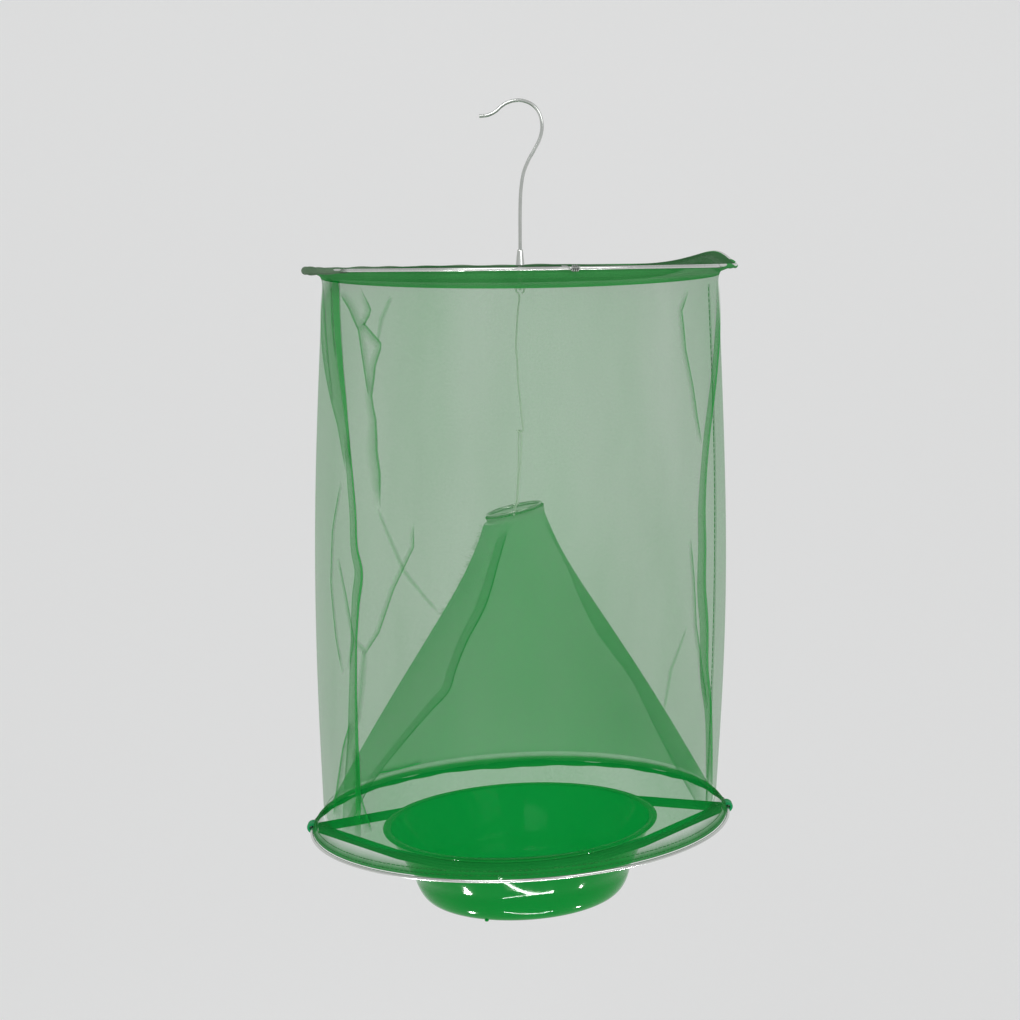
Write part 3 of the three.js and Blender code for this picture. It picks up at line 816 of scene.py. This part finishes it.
# %%
def sleeve(name, start, end, bunch_at, thickness, move, material, body):
    """The fold of net that wraps the hoop's wire from one angle to another."""
    rows = int((end - start) * 0.9)
    angle = np.radians(np.linspace(start, end, rows))[:, None]
    turn = np.linspace(0, 2 * math.pi, 14, endpoint=False)[None, :]
    size = thickness + 0.2 * np.sin(angle * 31) + 0.16 * np.sin(angle * 13 + turn)
    size = size + 0.9 * np.exp(-(((np.degrees(angle) - bunch_at) / 12) ** 2))
    radius = HOOP - 0.25 + size * np.cos(turn)
    points = np.stack(
        [radius * np.cos(angle), radius * np.sin(angle), -0.3 + size * np.sin(turn)], -1
    )
    ends = np.clip(np.minimum(np.arange(rows), np.arange(rows)[::-1]) / 4, 0, 1)[:, None]
    made = Grids(name).add(move(points), across_wrap=True, layers=1.05 * ends)
    return made.finish(material, "hem", body)


PANEL_RIM = HOOP - HOOP_WIRE - 0.1


def panel_height(radius):
    """The disc lies level and its rim is drawn up against the inside of the hoop's wire."""
    near = np.clip((radius - (HOOP - 5)) / 4, 0, 1)
    return near * near * (3 - 2 * near) * 0.7


radii = np.concatenate([np.linspace(1.9, HOOP - 5, 40), np.linspace(HOOP - 4.5, PANEL_RIM, 12)])
panel_angle = np.linspace(0, 2 * math.pi, ROUND, endpoint=False)[:, None]
sag = -1.2 * np.sin(math.pi * np.clip(radii / HOOP, 0, 1)) * np.clip(radii / 30, 0, 1)
wrinkle = 0.35 * np.sin(panel_angle * 9 + radii / 14) * np.clip(radii / 60, 0, 1)
panel_z = panel_height(radii) + sag + wrinkle
panel_points = np.stack([radii * np.cos(panel_angle), radii * np.sin(panel_angle), panel_z], -1)
panel_layers = np.interp(radii, [0, HOOP - 6, HOOP - 3, PANEL_RIM], [1, 1, 2.2, 2.4])
panel = Grids("top_panel_gauze").add(
    on_top_hoop(panel_points), wrap=True, layers=panel_layers[None, :], flip=True
)
# Its grey-green colour is a painted sheen on the panel's upper side.
panel = panel.finish(panel_gauze_painted_sheen, "net", "cage_top")
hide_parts("top_panel")

# The fold's pale grey-green is a painted sheen on its upper side.
top_sleeve = sleeve("top_rim_fold", 78, 222, 196, 1.35, on_top_hoop, rim_fold, "cage_top")
right_sleeve = sleeve("top_rim_tuck", -30, 10, -60, 1.15, on_top_hoop, rolled_hem, "cage_top")

patch_angle = np.linspace(0, 2 * math.pi, 48, endpoint=False)[:, None]
patch_radii = np.linspace(1.9, 9, 6)
patch_points = np.stack(
    [patch_radii * np.cos(patch_angle), patch_radii * np.sin(patch_angle), np.full((48, 6), TOP_Z - 1.0)], -1
)
patch = Grids("stem_patch").add(patch_points, wrap=True).finish(hem_dense, "hem", "cage_top")
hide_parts("top_patch")

# %%
def hem_band(name, front, side, layers, move, material, body, back_layers=None):
    """A band right round a hoop. Its cross-section of (radius, height) points goes from the front
    and back one to the side one as it goes round."""
    front, side = (resampled(smooth_path(outline, 6), 14) for outline in (front, side))
    angle = np.linspace(0, 2 * math.pi, ROUND, endpoint=False)[:, None]
    pucker = 0.25 * np.sin(angle * 46) + 0.2 * np.sin(angle * 17 + 1.0)
    share = np.linspace(0, 1, len(front))[None, :]
    fullness = np.abs(np.sin(angle)) ** 1.3
    radius = front[:, 0] * fullness + side[:, 0] * (1 - fullness) + pucker * np.sin(math.pi * share)
    height = front[:, 1] * fullness + side[:, 1] * (1 - fullness)
    points = np.stack([radius * np.cos(angle), radius * np.sin(angle), height], -1)
    stops = np.linspace(0, 1, len(layers))
    at_back = np.clip(np.sin(angle) * 4, 0, 1)
    thickness = np.interp(share, stops, layers) * (1 - at_back)
    thickness = thickness + np.interp(share, stops, back_layers or layers) * at_back
    downwards = front[-1, 1] < front[0, 1]
    band = Grids(name).add(move(points), wrap=True, layers=thickness, flip=downwards)
    return band.finish(material, "hem", body)


top_band = hem_band(
    "top_hem_band",
    [(HOOP - 1.0, 0.7), (HOOP - 1.6, -1.5), (HOOP - 3.5, -4.2), (106.6, -7.0), (105.7, -9.4)],
    [(HOOP - 1.0, 0.7), (HOOP - 2.0, -0.6), (HOOP - 5.5, -1.8), (107.0, -3.0), (106.2, -4.6)],
    [1.1, 1.05, 1.0, 1.0, 1.05, 1.2], on_top_hoop, rolled_hem, "cage_top",
)
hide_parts("top_hem")
top_stitches = stitches(
    "top_hem_stitches",
    [(on_top_hoop(circle(HOOP - 1.9, ROUND, -1.0)), True)],
    "cage_top",
)

# %% [markdown]
# ## Bottom hem
#
# The tube's lower edge flares out to the bottom hoop and is folded round it, with rows of
# stitching close to the wire. The wire stays bare along the underside.

# %%
bottom_outline = [(HOOP - 0.7, 1.1), (HOOP - 1.4, 2.6), (HOOP - 3.2, 5.0), (108.9, 7.6), (108.0, 10.2)]
bottom_band = hem_band(
    "bottom_hem_band", bottom_outline, bottom_outline,
    [1.2, 1.15, 0.85, 0.6, 0.45, 0.35], tilted, hem, "cage_bottom", [1.2, 1.25, 0.9, 0.5, 0.42, 0.42],
)
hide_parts("bottom_hem")
back_sleeve = sleeve("bottom_rim_fold", 4, 176, 90, 1.3, tilted, hem_dense, "cage_bottom")
bottom_stitches = stitches(
    "bottom_hem_stitches",
    [
        (tilted(circle(HOOP - 1.3, ROUND, 2.5)), True),
        (tilted(circle(HOOP - 2.6, ROUND, 4.3)), True),
    ],
    "cage_bottom",
)

# %% [markdown]
# ## Cone
#
# The inner net is a fan of closer gauze rolled into a cone and sewn along one side. The seam's
# allowance lies flat against the cone as a darker strip, a second strip at the other side is the
# fan's turned-in edge, and the raw edge near the top has frayed.

# %%
CONE_HEIGHT = CONE_TOP_Z - CONE_BASE_Z


def on_cone(degrees, height, out=0.0):
    """The point on the cone at an angle and a height above the bottom hoop's plane."""
    share = np.clip((np.asarray(height, float) - 9) / CONE_HEIGHT, 0, 1)
    angle = np.radians(degrees)
    slack = 0.6 * np.sin(angle * 3 + 1.2) + 0.35 * np.sin(angle * 7 + share * 5)
    radius = 106.6 + (16.3 - 106.6) * share - 4 * np.sin(math.pi * share**3)
    radius = radius + slack * np.sin(math.pi * share) + out
    x, y = radius * np.cos(angle), radius * np.sin(angle)
    lean = np.radians(3.0 + (13.6 - 3.0) * share**3)
    z = CONE_BASE_Z + share * CONE_HEIGHT + x * np.tan(lean)
    return np.stack([x + RING_X * share, y, z], -1)


def cone_radius_at(height):
    return 106.6 + (16.3 - 106.6) * np.clip((height - 9) / CONE_HEIGHT, 0, 1)


heights = np.linspace(9, 9 + CONE_HEIGHT, 90)[None, :]
angles = np.linspace(0, 360, 300, endpoint=False)[:, None]
cone = Grids("cone_gauze").add(on_cone(*np.broadcast_arrays(angles, heights)), wrap=True)
folds = [
    # the turned-in edge at the right: a broad strip from the base to the top
    ([(-9, 9.3), (-9.4, 47), (-7.5, 85), (-12.5, 115), (-6, 148), (-10, 167)],
     [31, 26, 18, 17, 7.7, 6.3], [(-1, 0), (-0.95, 1.8), (-0.87, 0.9), (0.9, 0.8), (1, 0)]),
    ([(-147, 42), (-138, 46), (-127, 51)], [1.2, 1.5, 1], CRISP),
]
for index, (path, widths, profile) in enumerate(folds):
    points, layers = strip(path, widths, profile, on_cone, cone_radius_at, 0.4 + 0.05 * index)
    cone.add(points, layers=layers)
cone_net = cone.finish(cone_gauze, "cone_net", "cage_bottom")
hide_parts("cone_net")

seam_line = [(-152.5, 10), (-151.5, 33), (-143.6, 56), (-134.4, 75), (-127.7, 86), (-128.3, 93),
             (-127.3, 110), (-121.5, 126), (-117, 150), (-108, 166)]
seam_layers = [(-1, 0), (-0.85, 0.5), (-0.2, 0.4), (0.6, 0.5), (0.82, 1.0), (0.93, 1.0), (1, 0)]
seam_widths = [4, 3.6, 3, 3, 3.2, 3.6, 4, 4, 3.4, 2.6]
points, layers = strip(seam_line, seam_widths, seam_layers, on_cone, cone_radius_at, -0.7, 140)
cone_seam = Grids("cone_seam_band").add(points, layers=layers).finish(hem, "hem", "cage_bottom")
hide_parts("cone_seam")

# %% [markdown]
# Frayed threads along the cone's raw edge near the top: fine fibres that stand off the cloth.

# %%
fray = []
for _ in range(110):
    start = on_cone(-176 + rng.normal(0, 5), 100 + 66 * rng.random() ** 0.7, 0.2)
    away = np.array([-0.7, -0.5, 0.1]) + rng.normal(0, 0.45, 3)
    length = 0.8 + 1.6 * rng.random()
    bend = rng.normal(0, 0.5, 3)
    fray.append((np.array([start, start + away * length / 2 + bend, start + away * length]), False))
frayed = wire("cone_frayed_threads", fray, 0.05, "cage_bottom", stitching, "hem", 4)

# %% [markdown]
# ## Ring, its hem and the bail
#
# A small wire ring holds the cone's top open. A folded hem hangs from it, and a bail of fine wire
# goes through it on both sides and up in a long twisted loop to the hanging wire.

# %%
ring = wire("cone_ring_wire", [(ring_tilted(circle(RING, 96)), True)], 0.5, "cone_top")
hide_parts("cone_ring")
hem_angle = np.linspace(0, 2 * math.pi, 120, endpoint=False)[:, None]
hem_heights = np.linspace(-4.8, -0.6, 8)[None, :]
hem_radius = 16.0 + 0.25 * np.sin(hem_angle * 13) - 0.9 * np.clip((hem_heights + 2) / 1.4, 0, 1) ** 2
hem_points = np.stack(
    [hem_radius * np.cos(hem_angle), hem_radius * np.sin(hem_angle), np.broadcast_to(hem_heights, hem_radius.shape)], -1
)
hem_layers = np.interp(np.linspace(0, 1, 8), [0, 0.2, 0.7, 1], [0.35, 0.4, 0.6, 0.9])
ring_hem = Grids("cone_top_hem").add(ring_tilted(hem_points), wrap=True, layers=hem_layers[None, :])
ring_hem = ring_hem.finish(hem, "hem", "cone_top")
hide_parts("cone_ring_hem")
ring_stitches = stitches(
    "cone_ring_stitches", [(ring_tilted(circle(16.2, 96, -1.4)), True)], "cone_top", spacing=2.2, length=1.5, thread=0.2
)

WIRE_END_Z = RING_Z + 41.6
WIRE_LENGTH = PIVOT_Z - WIRE_END_Z
hanging = []
for degrees in range(-65, 246, 31):
    angle = math.radians(degrees)
    hanging.append((2.2 * math.cos(angle), 0, PIVOT_Z - 0.5 + 2.2 * math.sin(angle)))
kinks = [
    (-0.4, 0.06), (-1.2, 0.156), (-1.9, 0.312), (-2.2, 0.403),
    (-1.5, 0.506), (-1.0, 0.649), (0.3, 0.805), (0.9, 0.896),
]
hanging += [(x, 0, PIVOT_Z - share * WIRE_LENGTH) for x, share in kinks]
for degrees in np.arange(0, -166, -27.5):
    angle = math.radians(degrees)
    hanging.append((1.65 * math.cos(angle), 0, WIRE_END_Z + 1.65 + 1.65 * math.sin(angle)))
hanging_wire = wire(
    "inner_hanging_wire", [(smooth_path(hanging, 6), False)], 0.45, "inner_wire", pale_steel
)
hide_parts("hanging_wire")

LOOP_TOP_Z = WIRE_END_Z + 0.45 + 0.4 + 0.15
half_side = [
    (RING_X, RING + 2, BAIL_FEET_Z), (RING_X, RING - 2.2, BAIL_FEET_Z), (RING_X + 0.8, 5.5, RING_Z + 1),
]
strands = [
    (RING_X + 1.6, 0.62, RING_Z + 3), (RING_X + 2.0, 0.58, RING_Z + 9), (-0.6, 0.95, RING_Z + 18),
    (-0.1, 1.35, RING_Z + 27), (0, 1.7, LOOP_TOP_Z - 5), (0, 1.7 * 0.86, LOOP_TOP_Z - 1.1),
]
twist = math.radians(25)
front = [(x, -y, z) for x, y, z in half_side]
front += [(x + w * math.sin(twist), -w * math.cos(twist), z) for x, w, z in strands]
back = half_side + [(x - w * math.sin(twist), w * math.cos(twist), z) for x, w, z in strands]
bail = wire("bail_wire", [(smooth_path([*front, (0, 0, LOOP_TOP_Z), *back[::-1]]), False)], 0.4, "bail", pale_steel)
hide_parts("cone_bail")

# %% [markdown]
# ## Straps and their loops
#
# Two woven tapes cross under the hoop from one side to the other, each round half of the bowl
# below its lip. At both ends they are tied to the hoop by a lashing of shiny tape.

# %%
BOWL_MOUTH, RIM = 73.0, 76.0
STRAP_R = BOWL_MOUTH + 0.5
STRAP_END = HOOP - 3.7
STRAP_WIDE, STRAP_THICK = 5.5, 0.9


def strap(side):
    """One tape: straight to the bowl, round it, and straight on. side is -1 for the front."""
    reach = math.acos(STRAP_R / STRAP_END)
    half_arc = STRAP_R * (math.pi / 2 - reach)
    straight = math.sqrt(STRAP_END**2 - STRAP_R**2)
    clear = math.sqrt((RIM + 1) ** 2 - STRAP_R**2)
    along = np.linspace(-half_arc - straight, half_arc + straight, 220)[:, None]
    half, thick = STRAP_WIDE / 2, STRAP_THICK
    section = np.array([
        (0.12, half - 0.1), (0.0, half - 0.5), (0.0, -half + 0.5), (0.12, -half + 0.1), (thick / 2, -half),
        (thick - 0.12, -half + 0.1), (thick, -half + 0.5), (thick, half - 0.5), (thick - 0.12, half - 0.1), (thick / 2, half),
    ])
    radius = STRAP_R + section[:, 0][None, :]
    beyond = np.maximum(0, np.abs(along) - half_arc)
    turn = np.minimum(np.abs(along), half_arc) / STRAP_R
    across = radius * np.sin(turn) + beyond * np.cos(turn)
    ahead = radius * np.cos(turn) - beyond * np.sin(turn)
    lift = np.maximum(0, beyond - clear) / (straight - clear)
    z = -1.6 - 1.3 - 0.3 - half + section[:, 1][None, :] + 5 * lift
    points = np.stack([np.sign(along) * across, -ahead - 0.6, np.broadcast_to(z, across.shape)], -1)
    if side > 0:
        points[..., :2] *= -1
    return tilted(points)


for name, side in (("front", -1), ("back", 1)):
    points = strap(side)
    tape_strap = Grids(f"{name}_strap_tape").add(points, across_wrap=True)
    last = tape_strap.count - 10
    tape_strap.cap(list(range(9, -1, -1)))
    tape_strap.cap([last + i for i in range(10)])
    piece = tape_strap.finish(webbing, "strap", "sling")
    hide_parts(f"strap_{name}")

for name, side in (("left", -1), ("right", 1)):
    bore, outer, half = 1.5, 3.1, 4.5
    outline = [(bore, -half)]
    for step in range(9):
        z = -half + 0.25 + step * (2 * half - 0.5) / 8
        outline.append((outer - (0.42 if step % 2 else 0.0) - (0.5 if step in (0, 8) else 0), z))
    outline.append((bore, half))

    def to_hoop(points, side=side):
        p = np.asarray(points, float)
        return tilted(np.stack([p[..., 0] + side * HOOP, p[..., 2], -p[..., 1]], -1))

    loop = lathe(f"{name}_lashing", outline, 32, tape, "tape", "cage_bottom", to_hoop)
    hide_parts(f"strap_loop_{name}")

# %% [markdown]
# ## Bait bowl
#
# A vacuum-formed dish: a rolled lip, a wall that curves in to a waist and then turns sharply to
# a flat base, and the small pip that the moulding leaves at the base's edge.

# %%
DEPTH, WALL, WAIST, WAIST_DROP, BASE, LIP = 41.0, 1.5, 60.5, 26.3, 50.0, 1.3


def bezier(a, b, c, count):
    t = np.linspace(0, 1, count)[:, None]
    a, b, c = (np.asarray(p, float) for p in (a, b, c))
    return (1 - t) ** 2 * a + 2 * t * (1 - t) * b + t**2 * c


def bowl_side(inset):
    base = (BASE - inset * 0.5, -DEPTH + inset)
    turn_in = (WAIST - 3 - inset, -DEPTH + inset + 0.5)
    waist = (WAIST - inset, -WAIST_DROP)
    belly = ((WAIST + BOWL_MOUTH) / 2 + 1 - inset, -WAIST_DROP / 2 - 1)
    mouth = (BOWL_MOUTH - inset, -LIP)
    return np.concatenate([bezier(base, turn_in, waist, 12), bezier(waist, belly, mouth, 10)[1:]])


floor_out = [(r, -DEPTH) for r in np.linspace(0, BASE - 3, 8)]
floor_in = [(r, -DEPTH + WALL) for r in np.linspace(BASE - 3, 0, 8)]
lip = [(RIM - 0.5, -LIP), (RIM - 0.12, -LIP + 0.3), (RIM, -LIP / 2), (RIM - 0.12, -0.3), (RIM - 0.5, 0)]
lip += [(BOWL_MOUTH - WALL + 0.7, 0), (BOWL_MOUTH - WALL + 0.25, -0.25)]
outline = np.concatenate([floor_out, bowl_side(0), lip, bowl_side(WALL)[::-1], floor_in])
outline[:, 1] -= RIM_DROP
inner_face = len(outline) - len(bowl_side(WALL)) - len(floor_in)
# The inner faces are marked to get the bowl's painted lighter tone, which stands in for light inside it.
painted_light_inside = np.where(np.arange(len(outline)) < inner_face, 0.0, 1.0)
bowl = lathe("bowl_shell", outline, 160, bowl_plastic, "bowl", "bowl", tilted, painted_light_inside)
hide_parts("bait_bowl")
pip_outline = [(0, -0.6), (0.9, -0.55), (1.2, 0.1), (1.0, 0.9), (0, 1.0)]


def to_pip(points):
    return tilted(np.asarray(points) + np.array([-20.0, -49.0, -RIM_DROP - DEPTH + 0.5]))


pip = lathe("bowl_pip", pip_outline, 16, bowl_plastic, "bowl", "bowl", to_pip, 0.0)

# %% [markdown]
# ## Soft pieces
#
# The net folds down with the cage and the cone folds down with its own joint. Here the net and
# the cone pieces each get a mesh of their own, and cone_left is worked out from the cone joint's
# range, though nothing uses it.

# %%
cone_left = 1 + joints["cone_fold"]["range_m"][0] / (CONE_HEIGHT * MM)
for piece in (cage_net, seam_band, seam_stitches):
    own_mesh(piece)
for piece in (cone_net, cone_seam, frayed):
    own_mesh(piece)

# %% [markdown]
# ## Stage
#
# A plain pale sweep behind and below, and soft light from the front and above. Three narrow lamps
# under the bowl only make glints on glossy pieces, so they add no light to the cloth.

# %%
scene = bpy.context.scene

backdrop = Look("backdrop", Roughness=1.0, Specular_IOR_Level=0.0, Base_Color=srgb(214, 214, 214))
backdrop.shader.inputs["Emission Color"].default_value = srgb(222, 222, 222)
backdrop.shader.inputs["Emission Strength"].default_value = 0.36
sweep = []
profile = [(-3, -0.95), (1.4, -0.95)] + [
    (1.4 + 1.2 * math.sin(a), 0.25 - 1.2 * math.cos(a)) for a in np.linspace(0, math.pi / 2, 14)[1:]
] + [(2.6, 3.0)]
mesh = bpy.data.meshes.new("sweep")
mesh.from_pydata(
    [(x, y, z) for y, z in profile for x in (-5, 5)], [],
    [(2 * i, 2 * i + 1, 2 * i + 3, 2 * i + 2) for i in range(len(profile) - 1)],
)
mesh.polygons.foreach_set("use_smooth", [True] * len(mesh.polygons))
mesh.materials.append(backdrop.material)
sweep = bpy.data.objects.new("sweep", mesh)
scene.collection.objects.link(sweep)


def soft_box(name, place_at, aim, size, power, shine_only=False):
    light = bpy.data.lights.new(name, "AREA")
    light.shape = "RECTANGLE"
    light.size, light.size_y = size
    light.energy = power
    lamp = bpy.data.objects.new(name, light)
    lamp.visible_camera = False
    lamp.visible_diffuse = not shine_only
    lamp.location = place_at
    lamp.rotation_euler = (Vector(aim) - Vector(place_at)).to_track_quat("-Z", "Y").to_euler()
    scene.collection.objects.link(lamp)


soft_box("key", (-0.5, -1.3, 0.9), (0, 0, -0.25), (0.7, 0.5), 9)
soft_box("fill", (0.9, -1.2, 0.5), (0, 0, -0.25), (0.9, 0.6), 5)
BOWL_FRONT = (0, -0.06, -0.41)
soft_box("under_strip", (0.036, -0.165, -0.845), BOWL_FRONT, (0.30, 0.012), 1.3, True)
soft_box("under_left", (-0.226, -0.008, -0.818), BOWL_FRONT, (0.05, 0.03), 0.9, True)
soft_box("under_right", (0.269, 0.013, -0.792), BOWL_FRONT, (0.04, 0.02), 0.5, True)

world = bpy.data.worlds.new("studio")
scene.world = world
world.use_nodes = True
world.node_tree.nodes["Background"].inputs[0].default_value = (0.92, 0.93, 0.93, 1)
world.node_tree.nodes["Background"].inputs[1].default_value = 0.6

camera_data = bpy.data.cameras.new("camera")
camera_data.lens = 70.2
camera_data.sensor_width = 36
camera = bpy.data.objects.new("camera", camera_data)
camera.location = (-0.0054, -1.073, -0.0805)
camera.rotation_euler = (math.radians(90 - 7.3), 0, 0)
scene.collection.objects.link(camera)
scene.camera = camera
scene.view_settings.view_transform = "Standard"
scene.cycles.transparent_max_bounces = 40
